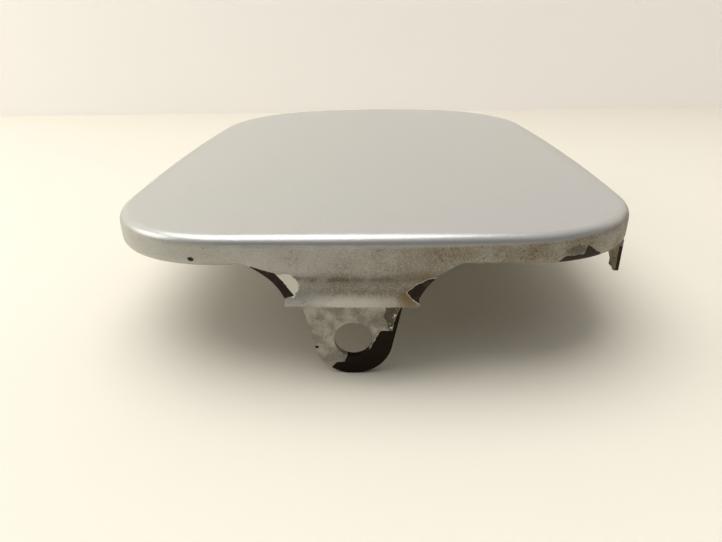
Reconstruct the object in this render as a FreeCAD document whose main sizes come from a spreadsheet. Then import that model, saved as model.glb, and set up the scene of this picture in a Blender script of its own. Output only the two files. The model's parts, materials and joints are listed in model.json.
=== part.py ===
import FreeCAD
import Part
import Sketcher
import math
import os

# Fuel filler flap of a car: a pressed steel skin with a hemmed skirt, a reinforcement
# pressing spot-welded inside it, a lock lug with an eye and a goose-neck hinge strap.
# The flap is drawn with its crown apex at z = 0 and its lock end towards -Y. Every piece
# is then moved so that the hinge axis is the origin. Lengths in mm, angles in degrees.

SIZES = [
    ("flap_width", 142.0, "width across the middle"),
    ("flap_length", 193.0, "length from lock end to hinge end"),
    ("side_radius", 850.0, "plan radius of the bowed long sides"),
    ("end_radius", 347.0, "plan radius of the bowed ends"),
    ("corner_radius", 39.0, "plan radius of the corners"),
    ("crown_radius", 1146.0, "radius of the crowned top across the width"),
    ("skirt_crown", 600.0, "radius of the lower edge of the skirt across the width"),
    ("skin_thick", 0.8, "sheet of the outer skin"),
    ("skirt_depth", 6.8, "depth of the skirt in the middle"),
    ("edge_radius", 2.5, "outside radius of the pressed top edge"),
    ("hem_radius", 2.2, "outside radius of the rolled hem"),
    ("hem_return", 6.0, "reach of the hem inwards from the outline"),
    ("lock_offset", 4.4, "distance of the lock from the middle, towards -X"),
    ("lip_half", 15.0, "half width of the flared lip"),
    ("shoulder_radius", 22.0, "radius of the concave shoulders of the tongue"),
    ("shoulder_depth", 14.2, "depth at which the shoulders end"),
    ("bend_depth", 9.8, "depth at which the tongue starts to flare"),
    ("flare_radius", 7.2, "radius of the flare"),
    ("flare_angle", 50.0, "angle of the flare"),
    ("tab_inset", 6.4, "distance of the corner tab's outer face in from the long side"),
    ("tab_back", 22.5, "distance of the corner tab behind the lock end"),
    ("tab_width", 4.4, "width of the corner tab at its root"),
    ("tab_point", 1.3, "width of the corner tab at its point"),
    ("tab_depth", 18.3, "depth of the corner tab's point"),
    ("panel_thick", 0.8, "sheet of the reinforcement"),
    ("edge_clear", 0.6, "clearance of the reinforcement's edge from the rolled hem"),
    ("rim_gap", 0.05, "gap between the reinforcement's rim and the hem"),
    ("field_inset", 18.0, "inset of the raised field from the outline"),
    ("field_depth", 2.6, "depth of the raised field's level upper face"),
    ("field_radius", 2.4, "outside radius of the raised field's edge"),
    ("field_foot", 1.3, "bevel at the foot of the raised field, underside"),
    ("bead_radius", 7.0, "inside radius of the stiffening beads"),
    ("bead_drop", 2.2, "drop of the stiffening beads"),
    ("bead_length", 82.0, "length of the stiffening beads without their ends"),
    ("bead_pitch", 24.0, "pitch of the stiffening beads"),
    ("bead_centre", 20.0, "distance of the beads' centre from the middle, towards the lock"),
    ("weld_gap", 0.05, "gap between welded sheets"),
    ("lug_thick", 1.6, "sheet of the lock lug"),
    ("lug_gap", 0.75, "gap between the tongue and the lug in the middle"),
    ("lug_root", 29.4, "width of the lug at its root"),
    ("lug_foot", 14.0, "length of the lug's foot"),
    ("lug_bend", 1.4, "inside bend radius of the lug"),
    ("lug_end", 9.4, "radius of the lug's round end"),
    ("lock_depth", 26.4, "depth of the lock eye"),
    ("lock_radius", 4.6, "radius of the lock eye"),
    ("hinge_reach", 26.0, "distance of the hinge axis behind the hinge end"),
    ("hinge_drop", 20.0, "depth of the hinge axis"),
    ("pin_radius", 3.05, "radius of the rolled hinge eye"),
    ("strap_thick", 2.0, "sheet of the hinge strap"),
    ("strap_width", 46.0, "width of the hinge strap"),
    ("strap_foot", 36.0, "length of the strap's foot"),
    ("strap_bend", 4.5, "inside bend radius of the strap"),
    ("strap_corner", 7.0, "corner radius of the strap's foot"),
    ("leg_clear", 6.0, "distance of the strap's leg from the raised field's wall"),
    ("eye_wrap", 305.0, "angle through which the hinge eye is rolled"),
]

doc = FreeCAD.newDocument("fuel_filler_flap")
dims = doc.addObject("Spreadsheet::Sheet", "dims")
value = {}
for row, (word, number, note) in enumerate(SIZES, start=1):
    dims.set("A" + str(row), word)
    dims.set("B" + str(row), str(number))
    dims.set("C" + str(row), note)
    dims.setAlias("B" + str(row), word)
    value[word] = number
doc.recompute()

# Sizes that follow from the sheet, as expressions that name its cells.
TIP_DEPTH = "(dims.lock_depth + dims.lug_end)"
WALL_END = "(dims.skirt_depth - dims.hem_radius)"
RIM_RISE = "(dims.skin_thick + dims.rim_gap)"
FIELD_UNDER = "(dims.field_depth + dims.panel_thick)"
TAB_SIDE = "(dims.flap_width / 2 - dims.tab_inset)"
HINGE_Y = "(dims.flap_length / 2 + dims.hinge_reach)"
DRAW_HEIGHT = 120.0
# How far cutting shapes reach past what they cut, and how far pressed sheets run into
# each other before they become one piece.
CUT_MARGIN = 4.0
SHEET_LAP = 0.6
HEM_LAP = 0.4
ROOT_DEPTH = 3.0
PAST_FLAP = "dims.flap_length + 10 * " + str(CUT_MARGIN)
NOTCH_WIDTH = "(dims.lug_root + 2.5 * " + str(CUT_MARGIN) + ")"
NOTCH_DROP = "2.5 * " + str(CUT_MARGIN)
# A fillet that closes badly at its exact radius is taken a little larger or smaller.
FILLET_SHARES = (1.0, 1.04, 0.96, 1.08, 0.92)


def bind(thing, path, text):
    """Tie a property of the document's object to the sheet."""
    thing.setExpression(path, text)


def plane_sketch(body, name, role):
    """A sketch on one of a body's own planes."""
    sketch = body.newObject("Sketcher::SketchObject", name)
    for feature in body.Origin.OriginFeatures:
        if feature.Role == role:
            sketch.AttachmentSupport = (feature, [""])
    sketch.MapMode = "FlatFace"
    return sketch


def point(x, y):
    return FreeCAD.Vector(x, y, 0)


def add_line(sketch, start, end):
    return sketch.addGeometry(Part.LineSegment(point(*start), point(*end)), False)


def add_arc(sketch, centre, radius, first, last):
    """A counter-clockwise arc, angles in degrees."""
    circle = Part.Circle(point(*centre), FreeCAD.Vector(0, 0, 1), radius)
    arc = Part.ArcOfCircle(circle, math.radians(first), math.radians(last))
    return sketch.addGeometry(arc, False)


def tie(sketch, kind, *places):
    sketch.addConstraint(Sketcher.Constraint(kind, *places))


def size(sketch, name, text, kind, *places):
    """A named dimension of a sketch, bound to the sheet."""
    index = sketch.addConstraint(Sketcher.Constraint(kind, *places))
    sketch.renameConstraint(index, name)
    bind(sketch, "Constraints." + name, text)


def block_pad(body, sketch, name, length):
    """A pad on both sides of its sketch."""
    pad = body.newObject("PartDesign::Pad", name)
    pad.Profile = sketch
    pad.SideType = "Symmetric"
    if isinstance(length, str):
        bind(pad, "Length", length)
    else:
        pad.Length = length
    sketch.Visibility = False
    return pad


def corner_geometry(inset):
    """Centre and end angles of the rear right corner arc of an inset outline."""
    side = value["side_radius"] - inset
    end = value["end_radius"] - inset
    corner = value["corner_radius"] - inset
    side_x = value["flap_width"] / 2 - inset - side
    end_y = value["flap_length"] / 2 - inset - end
    reach_side = side - corner
    reach_end = end - corner
    gap = math.hypot(side_x, end_y)
    along = (reach_side ** 2 - reach_end ** 2 + gap ** 2) / (2 * gap)
    across = math.sqrt(reach_side ** 2 - along ** 2)
    unit_x = -side_x / gap
    unit_y = end_y / gap
    centre_x = side_x + along * unit_x - across * unit_y
    centre_y = along * unit_y + across * unit_x
    if centre_x < 0:
        centre_x = side_x + along * unit_x + across * unit_y
        centre_y = along * unit_y - across * unit_x
    first = math.degrees(math.atan2(centre_y, centre_x - side_x))
    last = math.degrees(math.atan2(centre_y - end_y, centre_x))
    return side_x, end_y, side, end, corner, centre_x, centre_y, first, last


def outline_prism(name, inset_text, inset):
    """The flap's bowed rounded outline, inset and drawn out up and down."""
    body = doc.addObject("PartDesign::Body", name)
    sketch = plane_sketch(body, name + "_outline", "XY_Plane")
    side_x, end_y, side, end, corner, cx, cy, a, b = corner_geometry(inset)
    add_arc(sketch, (side_x, 0), side, -a, a)
    add_arc(sketch, (cx, cy), corner, a, b)
    add_arc(sketch, (0, end_y), end, b, 180 - b)
    add_arc(sketch, (-cx, cy), corner, 180 - b, 180 - a)
    add_arc(sketch, (-side_x, 0), side, 180 - a, 180 + a)
    add_arc(sketch, (-cx, -cy), corner, 180 + a, 180 + b)
    add_arc(sketch, (0, -end_y), end, 180 + b, 360 - b)
    add_arc(sketch, (cx, -cy), corner, 360 - b, 360 - a)
    for index in range(8):
        tie(sketch, "Tangent", index, 2, (index + 1) % 8, 1)
    tie(sketch, "PointOnObject", 0, 3, -1)
    tie(sketch, "PointOnObject", 4, 3, -1)
    tie(sketch, "PointOnObject", 2, 3, -2)
    tie(sketch, "PointOnObject", 6, 3, -2)
    tie(sketch, "Equal", 0, 4)
    tie(sketch, "Equal", 2, 6)
    tie(sketch, "Equal", 1, 3)
    tie(sketch, "Equal", 1, 5)
    tie(sketch, "Equal", 1, 7)
    size(sketch, "side", "dims.side_radius - " + inset_text, "Radius", 0, side)
    size(sketch, "end", "dims.end_radius - " + inset_text, "Radius", 2, end)
    size(sketch, "corner", "dims.corner_radius - " + inset_text, "Radius", 1, corner)
    across = "dims.side_radius - dims.flap_width / 2"
    along = "dims.end_radius - dims.flap_length / 2"
    size(sketch, "right", across, "DistanceX", 0, 3, -1, 1, -side_x)
    size(sketch, "left", across, "DistanceX", -1, 1, 4, 3, -side_x)
    size(sketch, "rear", along, "DistanceY", 2, 3, -1, 1, -end_y)
    size(sketch, "front", along, "DistanceY", -1, 1, 6, 3, -end_y)
    block_pad(body, sketch, name + "_pad", DRAW_HEIGHT)
    return body


def long_cylinder(name, radius_text, height_text):
    """A cylinder along the flap whose top line lies at a given height."""
    drum = doc.addObject("Part::Cylinder", name)
    bind(drum, "Radius", radius_text)
    bind(drum, "Height", "dims.flap_length + 4 * dims.hinge_reach")
    drum.Placement.Rotation = FreeCAD.Rotation(FreeCAD.Vector(1, 0, 0), -90)
    bind(drum, "Placement.Base.y", "-dims.flap_length / 2 - 2 * dims.hinge_reach")
    bind(drum, "Placement.Base.z", "(" + height_text + ") - (" + radius_text + ")")
    return drum


def below_crown(name, depth_text):
    """All that lies under the crowned top, from a given depth down."""
    return long_cylinder(name, "dims.crown_radius - " + depth_text, "-" + depth_text)


def below_hem(name, rise_text):
    """All that lies under the skirt's lower edge, raised by a given amount."""
    return long_cylinder(name, "dims.skirt_crown + " + rise_text, rise_text + " - dims.skirt_depth")


def below_level(name, depth_text):
    """All that lies under a level plane at a given depth."""
    block = doc.addObject("Part::Box", name)
    bind(block, "Length", "2 * dims.flap_width")
    bind(block, "Width", "2 * dims.flap_length")
    bind(block, "Height", "dims.flap_width")
    bind(block, "Placement.Base.x", "-dims.flap_width")
    bind(block, "Placement.Base.y", "-dims.flap_length")
    bind(block, "Placement.Base.z", "-" + depth_text + " - dims.flap_width")
    return block


def join(kind, name, base, tool):
    result = doc.addObject("Part::" + kind, name)
    result.Base = base
    result.Tool = tool
    return result


def fuse(name, pieces):
    result = doc.addObject("Part::MultiFuse", name)
    result.Shapes = pieces
    return result


def eased(kind, name, base, wanted):
    """Fillets or chamfers on edges picked by a test: list of (test, size)."""
    doc.recompute()
    picked = []
    for index, edge in enumerate(base.Shape.Edges, start=1):
        middle = edge.valueAt((edge.FirstParameter + edge.LastParameter) / 2)
        for test, radius in wanted:
            if test(edge, middle):
                picked.append((index, radius))
                break
    result = doc.addObject("Part::" + kind, name)
    result.Base = base
    for share in FILLET_SHARES:
        result.Edges = [(index, share * radius, share * radius) for index, radius in picked]
        doc.recompute()
        if not result.Shape.isNull() and result.Shape.isValid():
            break
    return result


def crown_height(x, depth):
    radius = value["crown_radius"] - depth
    return -value["crown_radius"] + math.sqrt(radius ** 2 - x ** 2)


def hem_height(x, rise):
    radius = value["skirt_crown"] + rise
    return -value["skirt_depth"] - value["skirt_crown"] + math.sqrt(radius ** 2 - x ** 2)


def on_crown(depth):
    def test(edge, middle):
        ends = [vertex.Point for vertex in edge.Vertexes] + [middle]
        return all(abs(p.z - crown_height(p.x, depth)) < 0.01 for p in ends)
    return test


def on_level(depth):
    def test(edge, middle):
        ends = [vertex.Point for vertex in edge.Vertexes] + [middle]
        return all(abs(p.z + depth) < 0.01 for p in ends)
    return test


def on_hem(rise):
    def test(edge, middle):
        ends = [vertex.Point for vertex in edge.Vertexes] + [middle]
        return all(abs(p.z - hem_height(p.x, rise)) < 0.01 for p in ends)
    return test


def slab(name, prism, top, bottom):
    """The part of a prism between an upper and a lower curved boundary."""
    upper = join("Common", name + "_top", prism, top)
    return join("Cut", name, upper, bottom)


# Outer skin: a crowned pressing with a rolled edge, a skirt and a hem turned inwards. The
# hidden inside of the two bends is bevelled, no thinner than the sheet.
t = value["skin_thick"]
skin_prism = outline_prism("skin_prism", "0", 0.0)
hollow_prism = outline_prism("hollow_prism", "dims.skin_thick", t)
return_prism = outline_prism("return_prism", "dims.hem_return", value["hem_return"])
skin_block = slab("skin_block", skin_prism, below_crown("crown_outer", "0"), below_hem("hem_outer", "0"))
skin_form = eased("Fillet", "skin_form", skin_block, [
    (on_crown(0.0), value["edge_radius"]),
    (on_hem(0.0), value["hem_radius"]),
])
hollow_block = slab("hollow_block", hollow_prism, below_crown("crown_inner", "dims.skin_thick"),
                    below_hem("hem_inner", "dims.skin_thick"))
hollow_form = eased("Chamfer", "hollow_form", hollow_block, [
    (on_crown(t), value["edge_radius"] - t),
    (on_hem(t), value["hem_radius"] - t),
])
skin_shell = join("Cut", "skin_shell", skin_form, hollow_form)
mouth = join("Common", "mouth", return_prism, below_hem("hem_mouth", "(2 * dims.skin_thick)"))
skin_pan = join("Cut", "skin_pan", skin_shell, mouth)

# The hem is left out behind the tongue, where the lug comes down.
notch_box = doc.addObject("Part::Box", "notch_box")
bind(notch_box, "Length", NOTCH_WIDTH)
bind(notch_box, "Width", "dims.hem_return + " + NOTCH_DROP)
bind(notch_box, "Height", NOTCH_DROP + " + dims.hem_radius + " + str(HEM_LAP))
bind(notch_box, "Placement.Base.x", "-dims.lock_offset - " + NOTCH_WIDTH + " / 2")
bind(notch_box, "Placement.Base.y", "-dims.flap_length / 2 - " + str(CUT_MARGIN))
bind(notch_box, "Placement.Base.z", "-dims.skirt_depth - " + NOTCH_DROP)
notch = join("Common", "notch", notch_box, hollow_prism)
skin_open = join("Cut", "skin_open", skin_pan, notch)

# Tongue: the front wall carried on downwards and flared forwards, a strip turned about
# the centre of the bowed end and trimmed to its shouldered outline.
strip_body = doc.addObject("PartDesign::Body", "tongue_strip")
strip = plane_sketch(strip_body, "tongue_profile", "YZ_Plane")
bind(strip, "AttachmentOffset.Base.x", "dims.end_radius - dims.flap_length / 2")
face_x = -value["end_radius"]
back_x = face_x + t
strip_top = -value["edge_radius"] - SHEET_LAP
bend_z = -value["bend_depth"]
flare = value["flare_radius"]
turn = value["flare_angle"]
turn_cos = math.cos(math.radians(turn))
turn_sin = math.sin(math.radians(turn))
flare_x = face_x - flare
add_line(strip, (face_x, strip_top), (face_x, bend_z))
add_arc(strip, (flare_x, bend_z), flare, -turn, 0)
add_line(strip, (flare_x + flare * turn_cos, bend_z - flare * turn_sin),
         (flare_x + (flare + t) * turn_cos, bend_z - (flare + t) * turn_sin))
add_arc(strip, (flare_x, bend_z), flare + t, -turn, 0)
add_line(strip, (back_x, bend_z), (back_x, strip_top))
add_line(strip, (back_x, strip_top), (face_x, strip_top))
tie(strip, "Tangent", 0, 2, 1, 2)
tie(strip, "Coincident", 1, 1, 2, 1)
tie(strip, "Coincident", 2, 2, 3, 1)
tie(strip, "Tangent", 3, 2, 4, 1)
tie(strip, "Coincident", 4, 2, 5, 1)
tie(strip, "Coincident", 5, 2, 0, 1)
tie(strip, "Coincident", 1, 3, 3, 3)
tie(strip, "Vertical", 0)
tie(strip, "Horizontal", 5)
size(strip, "face", "dims.end_radius", "DistanceX", 0, 1, -1, 1, -face_x)
size(strip, "thick", "dims.skin_thick", "DistanceX", 5, 2, 5, 1, t)
size(strip, "lap", "dims.edge_radius + " + str(SHEET_LAP), "DistanceY", 0, 1, -1, 1, -strip_top)
size(strip, "bend", "dims.bend_depth", "DistanceY", 0, 2, -1, 1, -bend_z)
size(strip, "flare", "dims.flare_radius", "Radius", 1, flare)
size(strip, "drop", "dims.flare_radius * sin(dims.flare_angle * 1 deg)", "DistanceY",
     1, 1, 1, 2, flare * turn_sin)
size(strip, "lean", "(dims.flare_radius + dims.skin_thick) * sin(dims.flare_angle * 1 deg)",
     "DistanceY", 3, 1, 3, 2, (flare + t) * turn_sin)
strip_turn = strip_body.newObject("PartDesign::Revolution", "tongue_turn")
strip_turn.Profile = strip
strip_turn.ReferenceAxis = (strip, ["V_Axis"])
strip_turn.Midplane = True
bind(strip_turn, "Angle", "2 * asin((dims.lip_half + dims.shoulder_radius + dims.lock_offset + "
     + str(CUT_MARGIN) + ") / dims.end_radius)")

trim_body = doc.addObject("PartDesign::Body", "tongue_trim")
trim = plane_sketch(trim_body, "tongue_outline", "XZ_Plane")
lock_x = -value["lock_offset"]
lip = value["lip_half"]
shoulder = value["shoulder_radius"]
wall_end = value["skirt_depth"] - value["hem_radius"]
shoulder_drop = value["shoulder_depth"] - wall_end
shoulder_turn = math.degrees(math.acos(1 - shoulder_drop / shoulder))
root = lip + shoulder * math.sin(math.radians(shoulder_turn))
trim_low = -value["bend_depth"] - value["flare_radius"] - CUT_MARGIN
add_arc(trim, (lock_x - root, -wall_end - shoulder), shoulder, 90 - shoulder_turn, 90)
add_line(trim, (lock_x - lip, -value["shoulder_depth"]), (lock_x - lip, trim_low))
add_line(trim, (lock_x - lip, trim_low), (lock_x + lip, trim_low))
add_line(trim, (lock_x + lip, trim_low), (lock_x + lip, -value["shoulder_depth"]))
add_arc(trim, (lock_x + root, -wall_end - shoulder), shoulder, 90, 90 + shoulder_turn)
add_line(trim, (lock_x + root, -wall_end), (lock_x + root, 0))
add_line(trim, (lock_x + root, 0), (lock_x - root, 0))
add_line(trim, (lock_x - root, 0), (lock_x - root, -wall_end))
tie(trim, "Coincident", 0, 1, 1, 1)
tie(trim, "Coincident", 1, 2, 2, 1)
tie(trim, "Coincident", 2, 2, 3, 1)
tie(trim, "Coincident", 3, 2, 4, 2)
tie(trim, "Coincident", 4, 1, 5, 1)
tie(trim, "Coincident", 5, 2, 6, 1)
tie(trim, "Coincident", 6, 2, 7, 1)
tie(trim, "Coincident", 7, 2, 0, 2)
tie(trim, "Vertical", 1)
tie(trim, "Vertical", 3)
tie(trim, "Vertical", 5)
tie(trim, "Vertical", 7)
tie(trim, "Horizontal", 2)
tie(trim, "PointOnObject", 5, 2, -1)
tie(trim, "PointOnObject", 6, 2, -1)
tie(trim, "Vertical", 0, 3, 0, 2)
tie(trim, "Vertical", 4, 3, 4, 1)
tie(trim, "Equal", 0, 4)
size(trim, "shoulder", "dims.shoulder_radius", "Radius", 0, shoulder)
size(trim, "wall_left", WALL_END, "DistanceY", 0, 2, -1, 1, wall_end)
size(trim, "wall_right", WALL_END, "DistanceY", 4, 1, -1, 1, wall_end)
size(trim, "left_end", "dims.shoulder_depth", "DistanceY", 0, 1, -1, 1, value["shoulder_depth"])
size(trim, "right_end", "dims.shoulder_depth", "DistanceY", 4, 2, -1, 1, value["shoulder_depth"])
size(trim, "left_lip", "dims.lip_half + dims.lock_offset", "DistanceX", 1, 2, -1, 1, lip - lock_x)
size(trim, "lip_width", "2 * dims.lip_half", "DistanceX", 2, 1, 2, 2, 2 * lip)
size(trim, "low", "dims.bend_depth + dims.flare_radius + " + str(CUT_MARGIN), "DistanceY",
     2, 1, -1, 1, -trim_low)
block_pad(trim_body, trim, "tongue_trim_pad", PAST_FLAP)
tongue = join("Common", "tongue", strip_body, trim_body)

# Corner tab: a small folded tab that hangs from the hem at the right front corner.
fold_body = doc.addObject("PartDesign::Body", "tab_fold")
fold = plane_sketch(fold_body, "tab_section", "XY_Plane")
tab_x = value["flap_width"] / 2 - value["tab_inset"]
tab_y = -value["flap_length"] / 2 + value["tab_back"]
tab_w = value["tab_width"]
add_line(fold, (tab_x - tab_w, tab_y), (tab_x, tab_y))
add_line(fold, (tab_x, tab_y), (tab_x, tab_y + tab_w))
add_line(fold, (tab_x, tab_y + tab_w), (tab_x - t, tab_y + tab_w))
add_line(fold, (tab_x - t, tab_y + tab_w), (tab_x - t, tab_y + t))
add_line(fold, (tab_x - t, tab_y + t), (tab_x - tab_w, tab_y + t))
add_line(fold, (tab_x - tab_w, tab_y + t), (tab_x - tab_w, tab_y))
for index in range(6):
    tie(fold, "Coincident", index, 2, (index + 1) % 6, 1)
    tie(fold, "Horizontal" if index % 2 == 0 else "Vertical", index)
size(fold, "side", TAB_SIDE, "DistanceX", -1, 1, 0, 2, tab_x)
size(fold, "back", "dims.flap_length / 2 - dims.tab_back", "DistanceY", 0, 2, -1, 1, -tab_y)
size(fold, "face", "dims.tab_width", "DistanceX", 0, 1, 0, 2, tab_w)
size(fold, "leg", "dims.tab_width", "DistanceY", 1, 1, 1, 2, tab_w)
size(fold, "leg_thick", "dims.skin_thick", "DistanceX", 2, 2, 2, 1, t)
size(fold, "face_thick", "dims.skin_thick", "DistanceY", 5, 2, 5, 1, t)
block_pad(fold_body, fold, "tab_fold_pad", DRAW_HEIGHT)

taper_body = doc.addObject("PartDesign::Body", "tab_taper")
taper = plane_sketch(taper_body, "tab_outline", "XZ_Plane")
tab_top = hem_height(tab_x - tab_w / 2, HEM_LAP)
tab_low = -value["tab_depth"]
tip = value["tab_point"]
add_line(taper, (tab_x - tab_w, tab_top), (tab_x - tip, tab_low))
add_line(taper, (tab_x - tip, tab_low), (tab_x, tab_low))
add_line(taper, (tab_x, tab_low), (tab_x, tab_top))
add_line(taper, (tab_x, tab_top), (tab_x - tab_w, tab_top))
for index in range(4):
    tie(taper, "Coincident", index, 2, (index + 1) % 4, 1)
tie(taper, "Horizontal", 1)
tie(taper, "Vertical", 2)
tie(taper, "Horizontal", 3)
size(taper, "side", TAB_SIDE, "DistanceX", -1, 1, 2, 1, tab_x)
size(taper, "root", "dims.tab_width", "DistanceX", 3, 2, 3, 1, tab_w)
size(taper, "tip", "dims.tab_point", "DistanceX", 1, 1, 1, 2, tip)
size(taper, "low", "dims.tab_depth", "DistanceY", 1, 1, -1, 1, -tab_low)
size(taper, "top", "dims.skirt_depth - " + str(HEM_LAP) + " + (" + TAB_SIDE
     + " - dims.tab_width / 2)^2 / (2 * dims.skirt_crown)", "DistanceY", 3, 1, -1, 1, -tab_top)
block_pad(taper_body, taper, "tab_taper_pad", PAST_FLAP)
tab = join("Common", "tab", fold_body, taper_body)

outer_skin = fuse("outer_skin", [skin_open, tongue, tab])

# Reinforcement: a rim that lies on the hem and a level field raised towards the skin,
# with beads pressed down into it.
p = value["panel_thick"]
rim_prism = outline_prism("rim_prism", "(dims.hem_radius + dims.edge_clear)",
                          value["hem_radius"] + value["edge_clear"])
field_prism = outline_prism("field_prism", "dims.field_inset", value["field_inset"])
recess_prism = outline_prism("recess_prism", "(dims.field_inset + dims.panel_thick)",
                             value["field_inset"] + p)
rim_low = value["skin_thick"] + value["rim_gap"]
hem_rim_low = below_hem("hem_rim_low", RIM_RISE)
rim = slab("rim", rim_prism, below_hem("hem_rim_high", "(" + RIM_RISE + " + dims.panel_thick)"),
           hem_rim_low)
field_block = slab("field_block", field_prism, below_level("level_field", "dims.field_depth"),
                   hem_rim_low)
field_form = eased("Fillet", "field_form", field_block, [
    (on_level(value["field_depth"]), value["field_radius"]),
])
recess_block = slab("recess_block", recess_prism, below_level("level_recess", FIELD_UNDER),
                    below_hem("hem_recess", "-dims.panel_thick"))
recess_form = eased("Fillet", "recess_form", recess_block, [
    (on_level(value["field_depth"] + p), value["field_radius"] - p),
])
dish = fuse("dish", [rim, field_form])
dish_open = join("Cut", "dish_open", dish, recess_form)


def inside_rim(rise):
    """Edges at the foot of the raised field, at a given rise above the hem."""
    level = on_hem(rise)
    half_x = value["flap_width"] / 2 - value["field_inset"] + CUT_MARGIN
    half_y = value["flap_length"] / 2 - value["field_inset"] + CUT_MARGIN

    def test(edge, middle):
        return level(edge, middle) and abs(middle.x) < half_x and abs(middle.y) < half_y
    return test


dish_form = eased("Chamfer", "dish_form", dish_open, [
    (inside_rim(rim_low + p), value["field_foot"] - p * (2 - math.sqrt(2))),
    (inside_rim(rim_low), value["field_foot"]),
])


def bead(name, place, radius_text):
    """A straight bead with ball ends, as a solid of its inside or outside face."""
    x_text = str(place) + " * dims.bead_pitch"
    z_text = "dims.bead_radius - dims.bead_drop - dims.field_depth"
    rod = doc.addObject("Part::Cylinder", name + "_rod")
    bind(rod, "Radius", radius_text)
    bind(rod, "Height", "dims.bead_length")
    rod.Placement.Rotation = FreeCAD.Rotation(FreeCAD.Vector(1, 0, 0), -90)
    pieces = [rod]
    for end_name, end_text in (("_front", "-"), ("_rear", "+")):
        ball = doc.addObject("Part::Sphere", name + end_name)
        bind(ball, "Radius", radius_text)
        bind(ball, "Placement.Base.y", "-dims.bead_centre " + end_text + " dims.bead_length / 2")
        pieces.append(ball)
    bind(rod, "Placement.Base.y", "-dims.bead_centre - dims.bead_length / 2")
    for piece in pieces:
        bind(piece, "Placement.Base.x", x_text)
        bind(piece, "Placement.Base.z", z_text)
    return fuse(name, pieces)


ridges = []
grooves = []
for place in (-1, 0, 1):
    tag = str(place + 2)
    ridges.append(bead("ridge_" + tag, place, "dims.bead_radius + dims.panel_thick"))
    grooves.append(bead("groove_" + tag, place, "dims.bead_radius"))
under_field = below_level("level_ridge", "(dims.field_depth + dims.panel_thick / 2)")
ridge_set = join("Common", "ridge_set", fuse("ridge_all", ridges), under_field)
dish_ridged = fuse("dish_ridged", [dish_form, ridge_set])
inner_panel = join("Cut", "inner_panel", dish_ridged, fuse("groove_set", grooves))

# Lock lug: an angle of sheet, its foot under the rim and its leg behind the tongue,
# trimmed to a tapered outline with a round end and an eye.
angle_body = doc.addObject("PartDesign::Body", "lug_angle")
angle = plane_sketch(angle_body, "lug_profile", "YZ_Plane")
leg_front = -value["flap_length"] / 2 + t + value["lug_gap"]
leg_back = leg_front + value["lug_thick"]
foot_top = -value["skirt_depth"] + value["skin_thick"] + SHEET_LAP
foot_low = -value["skirt_depth"] + value["skin_thick"] - value["lug_thick"]
foot_end = leg_back + value["lug_foot"]
bend_in = value["lug_bend"]
bend_out = bend_in + value["lug_thick"]
leg_low = -value["lock_depth"] - value["lug_end"] - CUT_MARGIN
add_line(angle, (leg_front, leg_low), (leg_back, leg_low))
add_line(angle, (leg_back, leg_low), (leg_back, foot_low - bend_in))
add_arc(angle, (leg_back + bend_in, foot_low - bend_in), bend_in, 90, 180)
add_line(angle, (leg_back + bend_in, foot_low), (foot_end, foot_low))
add_line(angle, (foot_end, foot_low), (foot_end, foot_top))
add_line(angle, (foot_end, foot_top), (leg_front + bend_out, foot_top))
add_arc(angle, (leg_front + bend_out, foot_top - bend_out), bend_out, 90, 180)
add_line(angle, (leg_front, foot_top - bend_out), (leg_front, leg_low))
tie(angle, "Coincident", 0, 2, 1, 1)
tie(angle, "Tangent", 1, 2, 2, 2)
tie(angle, "Tangent", 2, 1, 3, 1)
tie(angle, "Coincident", 3, 2, 4, 1)
tie(angle, "Coincident", 4, 2, 5, 1)
tie(angle, "Tangent", 5, 2, 6, 1)
tie(angle, "Tangent", 6, 2, 7, 1)
tie(angle, "Coincident", 7, 2, 0, 1)
tie(angle, "Horizontal", 0)
tie(angle, "Vertical", 1)
tie(angle, "Horizontal", 3)
tie(angle, "Vertical", 4)
tie(angle, "Horizontal", 5)
tie(angle, "Vertical", 7)
size(angle, "front", "dims.flap_length / 2 - dims.skin_thick - dims.lug_gap", "DistanceX",
     0, 1, -1, 1, -leg_front)
size(angle, "thick", "dims.lug_thick", "DistanceX", 0, 1, 0, 2, value["lug_thick"])
size(angle, "low", TIP_DEPTH + " + " + str(CUT_MARGIN), "DistanceY", 0, 1, -1, 1, -leg_low)
size(angle, "bend_in", "dims.lug_bend", "Radius", 2, bend_in)
size(angle, "bend_out", "dims.lug_bend + dims.lug_thick", "Radius", 6, bend_out)
size(angle, "foot", "dims.lug_foot", "DistanceX", 0, 2, 4, 1, value["lug_foot"])
size(angle, "foot_low", "dims.skirt_depth - dims.skin_thick + dims.lug_thick", "DistanceY",
     4, 1, -1, 1, -foot_low)
size(angle, "foot_top", "dims.skirt_depth - dims.skin_thick - " + str(SHEET_LAP), "DistanceY",
     4, 2, -1, 1, -foot_top)
block_pad(angle_body, angle, "lug_angle_pad", "dims.flap_width")

face_body = doc.addObject("PartDesign::Body", "lug_face")
face = plane_sketch(face_body, "lug_outline", "XZ_Plane")
half_root = value["lug_root"] / 2
end_r = value["lug_end"]
eye_z = -value["lock_depth"]
rise = value["lock_depth"] - ROOT_DEPTH
span = math.hypot(half_root, rise)
tilt = math.degrees(math.acos(end_r / span) + math.atan2(half_root, rise))
start_angle = 90 + tilt
stop_angle = 450 - tilt
left_point = (lock_x + end_r * math.cos(math.radians(start_angle)),
              eye_z + end_r * math.sin(math.radians(start_angle)))
right_point = (2 * lock_x - left_point[0], left_point[1])
add_arc(face, (lock_x, eye_z), end_r, start_angle, stop_angle)
add_line(face, right_point, (lock_x + half_root, -ROOT_DEPTH))
add_line(face, (lock_x + half_root, -ROOT_DEPTH), (lock_x - half_root, -ROOT_DEPTH))
add_line(face, (lock_x - half_root, -ROOT_DEPTH), left_point)
eye = Part.Circle(point(lock_x, eye_z), FreeCAD.Vector(0, 0, 1), value["lock_radius"])
face.addGeometry(eye, False)
tie(face, "Tangent", 0, 2, 1, 1)
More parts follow.
